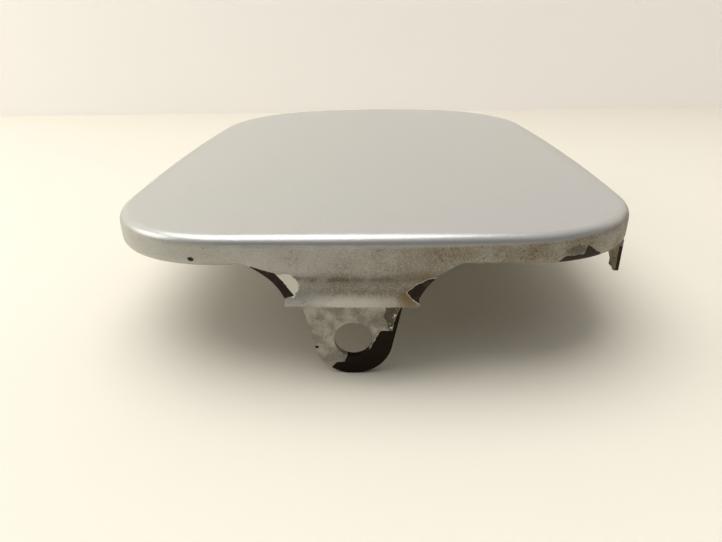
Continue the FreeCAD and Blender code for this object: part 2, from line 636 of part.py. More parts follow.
tie(face, "Coincident", 1, 2, 2, 1)
tie(face, "Coincident", 2, 2, 3, 1)
tie(face, "Tangent", 3, 2, 0, 1)
tie(face, "Horizontal", 2)
tie(face, "Coincident", 4, 3, 0, 3)
size(face, "end", "dims.lug_end", "Radius", 0, end_r)
size(face, "eye", "dims.lock_radius", "Radius", 4, value["lock_radius"])
size(face, "eye_side", "dims.lock_offset", "DistanceX", 0, 3, -1, 1, -lock_x)
size(face, "eye_depth", "dims.lock_depth", "DistanceY", 0, 3, -1, 1, -eye_z)
size(face, "root", "dims.lug_root", "DistanceX", 2, 2, 2, 1, value["lug_root"])
size(face, "root_side", "dims.lug_root / 2", "DistanceX", 0, 3, 2, 1, half_root)
size(face, "top", str(ROOT_DEPTH), "DistanceY", 2, 1, -1, 1, ROOT_DEPTH)
block_pad(face_body, face, "lug_face_pad", PAST_FLAP)
lug_blank = join("Common", "lug_blank", angle_body, face_body)
lock_lug = join("Common", "lock_lug", lug_blank, below_hem("hem_lug", "(" + RIM_RISE + " - dims.weld_gap)"))

# Hinge strap: a strip bent to a goose-neck, welded under the raised field and rolled
# into an eye behind the flap. Its belly is level with the lug's end.
strap_body = doc.addObject("PartDesign::Body", "strap_strip")
neck = plane_sketch(strap_body, "strap_profile", "YZ_Plane")
bind(neck, "AttachmentOffset.Base.x", HINGE_Y)
bind(neck, "AttachmentOffset.Base.y", "-dims.hinge_drop")
s = value["strap_thick"]
bore = value["pin_radius"]
bend = value["strap_bend"]
top_z = value["hinge_drop"] - value["field_depth"] - p - value["weld_gap"]
belly = value["hinge_drop"] - value["lock_depth"] - value["lug_end"]
leg_y = -value["hinge_reach"] - value["field_inset"] - p - value["leg_clear"]
foot_y = leg_y - s - value["strap_foot"]
wrap = math.radians(value["eye_wrap"])
wrap_cos = math.cos(wrap)
wrap_sin = math.sin(wrap)
c1 = (leg_y - s - bend, top_z - s - bend)
c2 = (leg_y + bend, belly + s + bend)
c3 = (bore - bend, belly + s + bend)
add_line(neck, (foot_y, top_z), (c1[0], top_z))
add_arc(neck, c1, bend + s, 0, 90)
add_line(neck, (leg_y, c1[1]), (leg_y, c2[1]))
add_arc(neck, c2, bend, 180, 270)
add_line(neck, (c2[0], belly + s), (c3[0], belly + s))
add_arc(neck, c3, bend, 270, 360)
add_line(neck, (bore, c3[1]), (bore, 0))
add_arc(neck, (0, 0), bore, 0, value["eye_wrap"])
add_line(neck, (bore * wrap_cos, bore * wrap_sin), ((bore + s) * wrap_cos, (bore + s) * wrap_sin))
add_arc(neck, (0, 0), bore + s, 0, value["eye_wrap"])
add_line(neck, (bore + s, 0), (bore + s, c3[1]))
add_arc(neck, c3, bend + s, 270, 360)
add_line(neck, (c3[0], belly), (c2[0], belly))
add_arc(neck, c2, bend + s, 180, 270)
add_line(neck, (leg_y - s, c2[1]), (leg_y - s, c1[1]))
add_arc(neck, c1, bend, 0, 90)
add_line(neck, (c1[0], top_z - s), (foot_y, top_z - s))
add_line(neck, (foot_y, top_z - s), (foot_y, top_z))
tie(neck, "Tangent", 0, 2, 1, 2)
tie(neck, "Tangent", 1, 1, 2, 1)
tie(neck, "Tangent", 2, 2, 3, 1)
tie(neck, "Tangent", 3, 2, 4, 1)
tie(neck, "Tangent", 4, 2, 5, 1)
tie(neck, "Tangent", 5, 2, 6, 1)
tie(neck, "Tangent", 6, 2, 7, 1)
tie(neck, "Coincident", 7, 2, 8, 1)
tie(neck, "Coincident", 8, 2, 9, 2)
tie(neck, "Tangent", 9, 1, 10, 1)
tie(neck, "Tangent", 10, 2, 11, 2)
tie(neck, "Tangent", 11, 1, 12, 1)
tie(neck, "Tangent", 12, 2, 13, 2)
tie(neck, "Tangent", 13, 1, 14, 1)
tie(neck, "Tangent", 14, 2, 15, 1)
tie(neck, "Tangent", 15, 2, 16, 1)
tie(neck, "Coincident", 16, 2, 17, 1)
tie(neck, "Coincident", 17, 2, 0, 1)
tie(neck, "Coincident", 7, 3, -1, 1)
tie(neck, "Coincident", 9, 3, 7, 3)
tie(neck, "Coincident", 3, 3, 13, 3)
tie(neck, "Coincident", 5, 3, 11, 3)
tie(neck, "Coincident", 1, 3, 15, 3)
tie(neck, "Horizontal", 0)
tie(neck, "Vertical", 2)
tie(neck, "Horizontal", 4)
tie(neck, "Vertical", 6)
tie(neck, "Vertical", 10)
tie(neck, "Horizontal", 12)
tie(neck, "Vertical", 14)
tie(neck, "Horizontal", 16)
tie(neck, "Vertical", 17)
size(neck, "bore", "dims.pin_radius", "Radius", 7, bore)
size(neck, "eye_out", "dims.pin_radius + dims.strap_thick", "Radius", 9, bore + s)
size(neck, "bend_leg", "dims.strap_bend", "Radius", 3, bend)
size(neck, "bend_rise", "dims.strap_bend", "Radius", 5, bend)
size(neck, "bend_foot", "dims.strap_bend", "Radius", 15, bend)
size(neck, "belly", TIP_DEPTH + " - dims.hinge_drop", "DistanceY", 12, 1, -1, 1, -belly)
size(neck, "foot_top", "dims.hinge_drop - " + FIELD_UNDER + " - dims.weld_gap", "DistanceY",
     -1, 1, 17, 2, top_z)
size(neck, "leg", "dims.hinge_reach + dims.field_inset + dims.panel_thick + dims.leg_clear",
     "DistanceX", 2, 1, -1, 1, -leg_y)
size(neck, "foot", "dims.strap_foot", "DistanceX", 17, 1, 14, 2, value["strap_foot"])
size(neck, "wrap", "dims.pin_radius * cos(dims.eye_wrap * 1 deg)", "DistanceX",
     -1, 1, 7, 2, bore * wrap_cos)
size(neck, "wrap_out", "(dims.pin_radius + dims.strap_thick) * cos(dims.eye_wrap * 1 deg)",
     "DistanceX", -1, 1, 9, 2, (bore + s) * wrap_cos)
block_pad(strap_body, neck, "strap_pad", "dims.strap_width")


def foot_corner(edge, middle):
    """The two upright edges at the free end of the strap's foot."""
    end_y = value["flap_length"] / 2 + value["hinge_reach"] + foot_y
    upright = abs(edge.Vertexes[0].Point.x - edge.Vertexes[-1].Point.x) < 0.001
    return upright and abs(middle.y - end_y) < 0.01


hinge_strap = eased("Fillet", "hinge_strap", strap_body, [(foot_corner, value["strap_corner"])])

# Every piece is moved so that the hinge axis becomes the origin.
PIECES = [outer_skin, inner_panel, lock_lug, hinge_strap]
for piece in PIECES:
    piece.Label = piece.Name
    bind(piece, "Placement.Base.y", "-" + HINGE_Y)
    bind(piece, "Placement.Base.z", "dims.hinge_drop")

doc.recompute()
for thing in doc.Objects:
    if "Invalid" in thing.State or "Error" in thing.State:
        raise RuntimeError("not built: " + thing.Name)
for piece in PIECES:
    if piece.Shape.isNull() or not piece.Shape.isValid():
        raise RuntimeError("bad shape: " + piece.Name)

os.makedirs("parts", exist_ok=True)
for piece in PIECES:
    piece.Shape.exportStep("parts/" + piece.Label + ".step")
    print(piece.Label, len(piece.Shape.Solids), round(piece.Shape.Volume), piece.Shape.BoundBox)
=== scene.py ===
import json
import math

import bmesh
import bpy
from bpy.props import FloatProperty, FloatVectorProperty, IntProperty, PointerProperty
from mathutils import Matrix, Vector


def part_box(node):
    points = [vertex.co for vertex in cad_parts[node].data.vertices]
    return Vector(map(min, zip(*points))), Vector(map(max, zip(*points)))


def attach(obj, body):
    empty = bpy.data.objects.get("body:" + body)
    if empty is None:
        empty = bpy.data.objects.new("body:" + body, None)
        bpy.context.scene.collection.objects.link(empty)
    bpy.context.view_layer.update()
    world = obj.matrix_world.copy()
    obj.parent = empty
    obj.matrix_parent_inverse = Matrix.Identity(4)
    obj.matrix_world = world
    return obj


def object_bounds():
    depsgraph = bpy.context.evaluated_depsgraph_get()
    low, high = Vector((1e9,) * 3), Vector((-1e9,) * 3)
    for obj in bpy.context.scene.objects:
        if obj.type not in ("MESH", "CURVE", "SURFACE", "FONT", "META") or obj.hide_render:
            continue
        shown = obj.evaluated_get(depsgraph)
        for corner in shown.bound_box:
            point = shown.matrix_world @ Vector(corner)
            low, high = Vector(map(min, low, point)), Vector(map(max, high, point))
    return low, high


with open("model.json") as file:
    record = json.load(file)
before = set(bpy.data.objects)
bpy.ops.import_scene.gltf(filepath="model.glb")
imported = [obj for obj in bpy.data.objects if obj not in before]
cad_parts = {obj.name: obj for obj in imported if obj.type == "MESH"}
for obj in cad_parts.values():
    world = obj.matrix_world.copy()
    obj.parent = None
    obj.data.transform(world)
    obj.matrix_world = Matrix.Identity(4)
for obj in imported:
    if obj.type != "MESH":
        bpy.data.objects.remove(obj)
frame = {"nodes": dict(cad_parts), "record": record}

bl_info = {
    "name": "Fuel Filler Flap",
    "version": (1, 0, 0),
    "blender": (4, 5, 0),
    "location": "View3D > Sidebar > Flap",
    "description": "Worn silver paint, weld spots and a small studio for a pressed steel filler flap",
    "category": "Object",
}

CAD_BOX = [list(corner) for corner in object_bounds()]
FLOOR_LEVEL = CAD_BOX[0][2]
SKIN_LOW, SKIN_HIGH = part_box("outer_skin")
STRAP_LOW, STRAP_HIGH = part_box("hinge_strap")
LUG_LOW, LUG_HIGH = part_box("lock_lug")
MOUNTS = {mount["name"]: mount for mount in frame["record"]["mounts"]}
LOCK_EYE = Vector(MOUNTS["lock_eye"]["pos_m"])
PIN_RADIUS = MOUNTS["hinge_eye"]["dims"]["r_mm"] / 1000
BODY = "root"

# Corners of the flaked patches, clockwise in the front view, in mm right of and above the lock eye.
# No side runs from the last corner to the first: a patch is open there, towards the edge of the sheet
# or towards another patch.
LEFT_FLAKE = [(-24.0, 18.0), (-23.7, 18.9), (-22.3, 19.2), (-17.0, 17.6), (-12.9, 12.8), (-15.6, 12.1)]
LEFT_PRIMER = [(-17.6, 17.4), (-13.4, 17.5), (-11.6, 15.0), (-11.8, 13.8), (-13.1, 12.6), (-16.5, 13.1)]
RIGHT_FLAKE = [(15.1, 11.4), (13.2, 12.4), (12.2, 13.5), (14.8, 15.2), (17.2, 16.4), (19.6, 16.5),
               (21.0, 10.0)]
CORNER_FLAKE = [(46.0, 18.0), (46.9, 19.5), (47.7, 20.1), (53.2, 19.8), (57.9, 18.5), (58.1, 12.0)]
CORNER_PEAK = [(52.4, 19.3), (53.4, 21.8), (57.7, 18.6), (57.9, 12.0)]
TAB_EDGE = [(68.1, 5.0), (68.1, 15.0), (80.0, 15.0)]
LUG_EDGE = [(8.9, 2.6), (9.6, 4.6), (10.4, 8.4)]
LUG_RIGHT = [(4.0, -2.2), (6.8, 3.0), (8.9, 2.5), (14.0, 2.6)]
LUG_UNDER_EYE = [(-2.3, -6.2), (-1.7, -4.5), (0.0, -2.5), (6.0, -2.5)]
LUG_BOTTOM = [(-5.1, -7.5), (-4.2, -6.4), (-2.1, -6.1), (4.0, -6.1)]
LUG_GREY = [(8.4, 2.6), (7.4, 5.8), (7.6, 8.9)]

# Soft patches: the centre right of and above the lock eye, then half the width and height, all in mm.
SKIRT_NICK = ((-36.3, 20.3), (0.8, 0.5))
CORNER_SCUFF = ((50.3, 21.1), (3.2, 1.4))
# The lip patch is painted light: a pale tone for the light that the upward-flared lip catches.
LIP_PAINTED_LIGHT = ((0.5, 11.6), (13.0, 1.9))
STAIN_BESIDE = ((12.8, 12.4), (2.8, 2.2))
STAIN_ABOVE = ((15.6, 17.2), (5.0, 2.2))
LUG_NICK = ((-8.7, -2.0), (0.45, 0.35))

# Places of the spot welds. The strap's columns are shares of half its width and the hem's welds shares
# of the skin's length. The rest is in metres, from the end of a foot or from the middle of the lug.
STRAP_COLUMNS = (-0.68, 0.0, 0.68)
STRAP_ROWS = (0.007, 0.021)
LUG_COLUMNS = (-0.007, 0.007)
LUG_ROW = 0.006
HEM_START = 0.27
HEM_SPAN = 0.46

# Half section of a spot weld from its edge inwards, in shares of its radius and height.
WELD_SECTION = [(1.0, -0.25), (0.92, 0.7), (0.78, 1.0), (0.6, 0.65), (0.3, 0.3)]
WELD_SIDES = 20

# Factors that keep only the two directions of the front view or of the side view.
FRONT_VIEW = (1.0, 0.0, 1.0)
SIDE_VIEW = (0.0, 1.0, 1.0)


def length(name, description, default):
    """A length in metres, shown in the user's own unit."""
    return FloatProperty(name=name, description=description, default=default, unit="LENGTH", precision=5)


def colour(name, description, default):
    """A linear colour."""
    return FloatVectorProperty(name=name, description=description, default=default,
                               subtype="COLOR", size=3, min=0.0, max=1.0)


def share(name, description, default):
    """A number from 0 to 1."""
    return FloatProperty(name=name, description=description, default=default,
                         subtype="FACTOR", min=0.0, max=1.0)


def place(name, description, default):
    """A point in the flap's frame."""
    return FloatVectorProperty(name=name, description=description, default=default,
                               subtype="TRANSLATION", unit="LENGTH", size=3, precision=5)


def direction(name, description, default):
    """A direction in the flap's frame."""
    return FloatVectorProperty(name=name, description=description, default=default,
                               subtype="DIRECTION", size=3)


def angle(name, description, degrees):
    """An angle, given in degrees."""
    return FloatProperty(name=name, description=description, default=math.radians(degrees),
                         subtype="ANGLE", unit="ROTATION")


def watts(name, description, default):
    """The power of a lamp."""
    return FloatProperty(name=name, description=description, default=default, subtype="POWER")


class FlapPaint(bpy.types.PropertyGroup):
    """Colours, grain and relief of the finishes."""

    silver: colour("Silver", "Metallic paint of the outer face", (0.565, 0.575, 0.57))
    inner_silver: colour("Inner silver", "Thin paint of the hidden pieces", (0.40, 0.395, 0.375))
    dust: colour("Dust", "Road dust that clings to the paint", (0.225, 0.183, 0.108))
    # This pale tone also serves as the painted light on the lip.
    primer: colour("Primer", "Pale primer beside the flaked paint", (0.80, 0.77, 0.67))
    bare: colour("Bare steel", "Dark rusted steel where the skin's paint is gone", (0.020, 0.013, 0.008))
    rust: colour("Rust", "Browner rust in the dark steel", (0.075, 0.036, 0.020))
    scale: colour("Scale", "Almost black rusted steel of the lock lug", (0.016, 0.0085, 0.005))
    grime: colour("Grime", "Dark grime on the skirt and the lock lug", (0.085, 0.072, 0.052))
    stain: colour("Stain", "Rust stain run onto the paint", (0.22, 0.145, 0.07))
    worn_steel: colour("Worn steel", "Steel rubbed bright by the hinge pin", (0.42, 0.41, 0.39))
    gloss: share("Paint roughness", "Roughness of the metallic paint", 0.33)
    metal: share("Paint metal", "How metallic the silver paint is", 0.75)
    inner_metal: share("Inner metal", "How metallic the thin paint of the hidden pieces is", 0.5)
    lug_metal: share("Lug metal", "How metallic the lock lug's paint is", 0.35)
    coat: share("Clear coat", "Weight of the clear coat", 0.4)
    flake: length("Flake", "Size of the paint's metal flakes", 0.0002)
    speck: length("Dust speck", "Size of the dust specks", 0.0004)
    skin_relief: length("Skin relief", "Depth of the relief on the outer skin", 0.00006)
    lug_relief: length("Lug relief", "Depth of the relief on the lock lug", 0.00007)
    dust_relief: length("Dust relief", "Depth of the relief on the hidden pieces", 0.00003)


class FlapWear(bpy.types.PropertyGroup):
    """Places and amounts of the dust, partly painted shade on the skirt's right, and of the flaked
    paint.
    """

    dust_top: length("Dust top", "Height at which the dust begins, under the rolled edge", 0.0183)
    dust_fade: length("Dust fade", "Height over which the dust sets in", 0.0012)
    dust_from: length("Dust from", "Where the dust begins to grow from left to right", -0.05)
    dust_to: length("Dust to", "Where the dust has grown to its full cover", 0.03)
    dust_left: share("Dust left", "Cover of the dust at the left of the skirt", 0.38)
    # Towards the right the dust is also painted shade: the skirt's right side darkened as if turned away
    # from the light on the left.
    dust_right: share("Dust right", "Cover of the dust at the right of the skirt", 0.95)
    lip_dust: share("Lip dust", "How much more dust lies on the lip", 0.15)
    panel_dust: share("Panel dust", "Cover of the dust on the inner panel", 0.5)
    lug_dust: share("Lug dust", "Cover of the dust on the lock lug", 0.55)
    strap_dust: share("Strap dust", "Cover of the dust on the hinge strap", 0.4)
    bend_height: length("Bend height", "Height of the tongue's bend line", 0.0100)
    bend_width: length("Bend width", "Half height of the dirt along the bend line", 0.0020)
    front_depth: length("Front depth", "How far behind the lip the paint is flaked", 0.024)
    front_fade: length("Front fade", "Over which length the flaked part ends", 0.008)
    ragged: length("Ragged", "How far the flaked edges stray", 0.00035)
    rim: length("Rim", "Width of the pale rim of primer", 0.00016)


class FlapWelds(bpy.types.PropertyGroup):
    """Spot welds on the hidden side."""

    radius: length("Radius", "Radius of a spot weld", 0.0018)
    height: length("Height", "How far the rim of a spot weld stands out", 0.00022)
    hem_count: IntProperty(name="Hem welds", description="Spot welds along each long side of the hem",
                           default=4, min=2)
    inset: length("Inset", "Distance of the hem's welds from the edge of the flap", 0.0040)


class FlapStage(bpy.types.PropertyGroup):
    """Camera, lamps, floor and backdrop."""

    camera: place("Camera", "Place of the camera", (0.0007, -0.3275, 0.0615))
    pitch: angle("Pitch", "How far the camera looks down", 24.46)
    yaw: angle("Yaw", "How far the camera turns to the left", 1.56)
    roll: angle("Roll", "How far the camera leans", -0.92)
    lens: FloatProperty(name="Lens", description="Focal length in mm", default=27.07,
                        subtype="DISTANCE_CAMERA")
    reach: length("Reach", "How far the table and the wall spread", 2.5)
    floor: colour("Floor", "Pale table", (0.96, 0.92, 0.82))
    wall: colour("Backdrop", "Pale wall behind the table", (0.84, 0.81, 0.76))
    wall_back: length("Backdrop distance", "Distance of the wall behind the hinge", 0.213)
    wall_height: length("Backdrop height", "Height of the wall", 0.6)
    wall_glow: share("Backdrop glow", "Light that the wall gives by itself", 0.36)
    room: colour("Room", "Light of the room", (1.0, 0.975, 0.93))
    room_side: direction("Bright side", "Where most of the room's light comes from", (-0.15, 0.30, 0.94))
    room_low: share("Low light", "Strength of the room's light on the dark side", 0.06)
    room_shine: share("Low shine", "What the paint mirrors of the dark side", 0.15)
    room_high: share("High light", "Strength of the room's light on the bright side", 0.6)
    key: place("Softbox", "Place of the large lamp", (-0.52, 0.20, 1.95))
    key_size: length("Softbox size", "Width of the large lamp", 2.5)
    key_power: watts("Softbox power", "Power of the large lamp in watts", 33.5)
    side: place("Side lamp", "Place of the lamp on the left", (-0.85, -0.12, 0.33))
    side_size: length("Side lamp size", "Width of the lamp on the left", 0.5)
    side_power: watts("Side power", "Power of the lamp on the left in watts", 1.6)
    lamp_tint: colour("Lamp tint", "Colour of the lamps", (1.0, 0.975, 0.93))


SETTINGS = {"flap_paint": FlapPaint, "flap_wear": FlapWear, "flap_welds": FlapWelds,
            "flap_stage": FlapStage}


class Wires:
    """Adds nodes to one node tree and joins them."""

    def __init__(self, tree):
        self.tree = tree

    def join(self, value, socket):
        """Link another node's socket, or set a constant on the socket itself."""
        if isinstance(value, bpy.types.NodeSocket):
            self.tree.links.new(value, socket)
        elif socket.type == "RGBA":
            socket.default_value = (*value, 1.0)
        else:
            socket.default_value = value

    def node(self, kind, **settings):
        made = self.tree.nodes.new(kind)
        for word, setting in settings.items():
            setattr(made, word, setting)
        return made

    def found(self, kind):
        """The node of a kind that the tree came with."""
        return next(node for node in self.tree.nodes if node.type == kind)

    def fill(self, made, values):
        """Give a node's first inputs their values in order."""
        for socket, value in zip(made.inputs, values):
            self.join(value, socket)
        return made.outputs

    def feed(self, made, **values):
        """Give a node's inputs their values by name."""
        for word, value in values.items():
            self.join(value, made.inputs[word.replace("_", " ").title()])
        return made.outputs

    def maths(self, operation, *values):
        return self.fill(self.node("ShaderNodeMath", operation=operation), values)[0]

    def vector(self, operation, *values):
        made = self.node("ShaderNodeVectorMath", operation=operation)
        measured = operation in ("LENGTH", "DOT_PRODUCT")
        return self.fill(made, values)["Value" if measured else "Vector"]

    def scale(self, vector, factor):
        made = self.node("ShaderNodeVectorMath", operation="SCALE")
        self.fill(made, [vector])
        return self.feed(made, scale=factor)["Vector"]

    def split(self, vector):
        return self.fill(self.node("ShaderNodeSeparateXYZ"), [vector])

    def noise(self, vector, scale, detail, roughness=0.55):
        made = self.node("ShaderNodeTexNoise")
        return self.feed(made, vector=vector, scale=scale, detail=detail, roughness=roughness)[0]

    def stray(self, vector, scale, detail, roughness):
        """Noise on both sides of 0."""
        return self.maths("SUBTRACT", self.noise(vector, scale, detail, roughness), 0.5)

    def mottle(self, vector, low, high, scale, detail, roughness=0.55):
        """Patches where noise is over high, fading out down to low."""
        return self.ramp(self.noise(vector, scale, detail, roughness), low, high)

    def cells(self, vector, scale):
        """A random number for each small cell."""
        made = self.node("ShaderNodeTexVoronoi")
        return self.split(self.feed(made, vector=vector, scale=scale)["Color"])[0]

    def ramp(self, value, low, high):
        """0 below low and 1 above high, smooth between; the other way round if low is larger."""
        made = self.node("ShaderNodeMapRange", interpolation_type="SMOOTHSTEP")
        return self.feed(made, value=value, from_min=low, from_max=high)[0]

    def mixture(self, data_type, ending, factor, first, second):
        made = self.node("ShaderNodeMix", data_type=data_type, clamp_factor=True)
        inputs = {socket.identifier: socket for socket in made.inputs}
        self.join(factor, inputs["Factor_Float"])
        self.join(first, inputs["A_" + ending])
        self.join(second, inputs["B_" + ending])
        return next(socket for socket in made.outputs if socket.identifier == "Result_" + ending)

    def mix(self, factor, first, second):
        """The colour first where factor is 0 and second where it is 1."""
        return self.mixture("RGBA", "Color", factor, first, second)

    def blend(self, factor, first, second):
        """The number first where factor is 0 and second where it is 1."""
        return self.mixture("FLOAT", "Float", factor, first, second)

    def layer(self, tone, *layers):
        """Colours laid over a tone in order, each where its mask is on."""
        for mask, tint in layers:
            tone = self.mix(mask, tone, tint)
        return tone

    def part(self, mask, amount):
        """A mask at part of its strength."""
        return self.maths("MULTIPLY", mask, amount)

    def line(self, value, slope, start):
        """A value times a slope, added to a start."""
        return self.maths("MULTIPLY_ADD", value, slope, start)

    def chain(self, operation, *values):
        """One maths step over any number of values."""
        result = values[0]
        for value in values[1:]:
            result = self.maths(operation, result, value)
        return result

    def both(self, *masks):
        """Where every mask is on."""
        return self.chain("MULTIPLY", *masks)

    def either(self, *masks):
        """Where any mask is on."""
        return self.chain("MAXIMUM", *masks)

    def without(self, mask):
        """Where the mask is off."""
        return self.maths("SUBTRACT", 1.0, mask)

    def group(self, tree, **inputs):
        return self.feed(self.node("ShaderNodeGroup", node_tree=tree), **inputs)


SOCKETS = {"float": "NodeSocketFloat", "vector": "NodeSocketVector", "colour": "NodeSocketColor"}


def shared_group(name, inputs, outputs, build):
    """A node group, built the first time it is asked for."""
    tree = bpy.data.node_groups.get(name)
    if tree is not None:
        return tree
    tree = bpy.data.node_groups.new(name, "ShaderNodeTree")
    for way, sockets in (("INPUT", inputs), ("OUTPUT", outputs)):
        for word, kind in sockets.items():
            tree.interface.new_socket(name=word, in_out=way, socket_type=SOCKETS[kind])
    wires = Wires(tree)
    given = wires.node("NodeGroupInput").outputs
    result = wires.node("NodeGroupOutput").inputs
    for word, socket in build(wires, given).items():
        wires.join(socket, result[word])
    return tree


def silver_coat():
    """Metallic paint with fine flakes and slow shifts of tint, under a film of dust with specks."""
    greenish = (0.985, 1.0, 0.975)
    lilac = (1.0, 0.99, 1.015)

    def build(wires, given):
        spot = given["Place"]
        cover = given["Dust Amount"]
        flake = wires.cells(spot, wires.maths("DIVIDE", 1.0, given["Flake"]))
        tint = wires.mix(wires.mottle(spot, 0.35, 0.65, scale=14.0, detail=1.0), greenish, lilac)
        tinted = wires.vector("MULTIPLY", given["Silver"], tint)
        painted = wires.scale(tinted, wires.line(flake, 0.08, 0.96))
        cloud = wires.mottle(spot, 0.3, 0.7, scale=90.0, detail=4.0, roughness=0.6)
        film = wires.both(cover, wires.line(cloud, 0.4, 0.6))
        fine = wires.noise(spot, wires.maths("DIVIDE", 1.0, given["Speck"]), detail=2.0, roughness=0.6)
        grit = wires.scale(given["Dust"], wires.line(wires.ramp(fine, 0.28, 0.72), 1.0, 0.5))
        coarse = wires.noise(spot, wires.maths("DIVIDE", 0.7, given["Speck"]), detail=2.0, roughness=0.5)
        fleck = wires.both(cover, wires.ramp(coarse, 0.67, 0.72))
        pit = wires.both(cover, wires.ramp(coarse, 0.36, 0.31))
        tone = wires.layer(
            painted,
            (film, grit),
            (wires.part(pit, 0.6), wires.scale(given["Dust"], 0.35)),
            (wires.part(fleck, 0.6), given["Silver"]),
        )
        return {
            "Color": tone,
            "Roughness": wires.line(film, 0.4, given["Gloss"]),
            "Dusty": film,
            "Height": wires.both(cover, wires.either(fine, fleck)),
        }

    inputs = {"Place": "vector", "Silver": "colour", "Dust": "colour", "Flake": "float",
              "Speck": "float", "Gloss": "float", "Dust Amount": "float"}
    outputs = {"Color": "colour", "Roughness": "float", "Dusty": "float", "Height": "float"}
    return shared_group("silver_coat", inputs, outputs, build)


def rusted_steel():
    """Dark steel with patches of browner rust."""
    def build(wires, given):
        spot = given["Place"]
        coarse = wires.noise(spot, scale=450.0, detail=5.0, roughness=0.65)
        fine = wires.noise(spot, scale=1900.0, detail=4.0, roughness=0.7)
        brown = wires.both(wires.ramp(coarse, 0.45, 0.7), wires.ramp(fine, 0.3, 0.6))
        return {
            "Color": wires.mix(brown, given["Steel"], given["Rust"]),
            "Roughness": wires.line(fine, 0.3, 0.55),
            "Height": wires.line(coarse, 0.6, fine),
        }

    inputs = {"Place": "vector", "Steel": "colour", "Rust": "colour"}
    outputs = {"Color": "colour", "Roughness": "float", "Height": "float"}
    return shared_group("rusted_steel", inputs, outputs, build)


def torn_edge():
    """Bare metal inside a patch of flaked paint, and the thin pale rim that goes a little further."""
    bare_blur = 0.00004
    rim_blur = 0.00008

    def build(wires, given):
        stray = wires.stray(given["Place"], given["Grain"], detail=4.0, roughness=0.6)
        depth = wires.line(stray, wires.maths("MULTIPLY", given["Ragged"], 2.0), given["Depth"])
        further = wires.maths("ADD", depth, given["Rim Width"])
        return {
            "Bare": wires.ramp(depth, -bare_blur, bare_blur),
            "Rim": wires.ramp(further, -rim_blur, rim_blur),
        }

    inputs = {"Place": "vector", "Depth": "float", "Ragged": "float", "Grain": "float",
              "Rim Width": "float"}
    return shared_group("torn_edge", inputs, {"Bare": "float", "Rim": "float"}, build)


def soft_patch():
    """A patch round a centre that fades out, broken up by noise."""
    outer_end = 1.15
    inner_end = 1.1

    def build(wires, given):
        offset = wires.vector("SUBTRACT", given["Place"], given["Centre"])
        in_reach = wires.vector("MULTIPLY", wires.vector("DIVIDE", offset, given["Reach"]), FRONT_VIEW)
        stray = wires.stray(given["Place"], given["Grain"], detail=4.0, roughness=0.65)
        away = wires.line(stray, given["Ragged"], wires.vector("LENGTH", in_reach))
        return {"Mask": wires.ramp(away, outer_end, wires.maths("SUBTRACT", inner_end, given["Fade"]))}

    inputs = {"Place": "vector", "Centre": "vector", "Reach": "vector", "Ragged": "float",
              "Grain": "float", "Fade": "float"}
    return shared_group("soft_patch", inputs, {"Mask": "float"}, build)


def beside_eye(right, up):
    """A point right of and above the lock eye, given in mm."""
    return LOCK_EYE + Vector((right, 0.0, up)) / 1000


class Finish:
    """A material with its shader and the place of each point on the flap."""

    def __init__(self, name):
        self.material = bpy.data.materials.new(name)
        self.material.use_nodes = True
        self.wires = Wires(self.material.node_tree)
        self.shader = self.wires.found("BSDF_PRINCIPLED")
        self.spot = self.wires.node("ShaderNodeTexCoord").outputs["Object"]

    def set(self, **values):
        """Give the shader's inputs their values by name."""
        sockets = {socket.name.lower().replace(" ", "_"): socket for socket in self.shader.inputs}
        for word, value in values.items():
            self.wires.join(value, sockets[word])

    def relief(self, height, depth):
        bump = self.wires.node("ShaderNodeBump")
        normal = self.wires.feed(bump, strength=1.0, distance=depth, height=height)[0]
        self.set(normal=normal)

    def coat(self, paint, silver, dust_amount):
        return self.wires.group(silver_coat(), place=self.spot, silver=silver, dust=paint.dust,
                                flake=paint.flake, speck=paint.speck, gloss=paint.gloss,
                                dust_amount=dust_amount)

    def steel(self, steel, rust):
        return self.wires.group(rusted_steel(), place=self.spot, steel=steel, rust=rust)

    def mottle(self, low, high, **grain):
        return self.wires.mottle(self.spot, low, high, **grain)

    def show_one_side(self):
        """Clear when seen from behind, so that no view of the flap is shut off."""
        wires = self.wires
        from_behind = wires.node("ShaderNodeNewGeometry").outputs["Backfacing"]
        clear = wires.node("ShaderNodeBsdfTransparent").outputs[0]
        choice = wires.node("ShaderNodeMixShader")
        shown = wires.fill(choice, [from_behind, self.shader.outputs[0], clear])[0]
        wires.join(shown, wires.found("OUTPUT_MATERIAL").inputs["Surface"])

    def depth(self, *patches):
        """How deep a point lies inside any of the patches, which are given by their corners."""
        return self.wires.either(*(self.depth_inside(corners) for corners in patches))

    def depth_inside(self, corners):
        """The distance from the nearest side of one patch, below 0 outside it."""
        wires = self.wires
        points = [beside_eye(*corner) for corner in corners]
        sides = []
        for start, end in zip(points, points[1:]):
            along = end - start
            inward = Vector((along.z, 0.0, -along.x)).normalized()
            sides.append(wires.vector("DOT_PRODUCT", wires.vector("SUBTRACT", self.spot, start), inward))
        return wires.chain("MINIMUM", *sides)

    def torn(self, depth, ragged, rim=0.0, grain=700.0):
        return self.wires.group(torn_edge(), place=self.spot, depth=depth, ragged=ragged,
                                rim_width=rim, grain=grain)

    def patch(self, centre, reach, ragged=0.8, grain=700.0, fade=0.3):
        """A soft patch beside the lock eye, its centre and half sizes given in mm."""
        wide, high = reach
        return self.wires.group(soft_patch(), place=self.spot, centre=beside_eye(*centre),
                                reach=Vector((wide, 1.0, high)) / 1000, ragged=ragged,
                                grain=grain, fade=fade)[0]


def dress(node_name, finish):
    """Put a finish on a piece of the frame."""
    slots = frame["nodes"][node_name].material_slots
    if not slots:
        raise RuntimeError("no material slot on " + node_name)
    for slot in slots:
        slot.material = finish.material


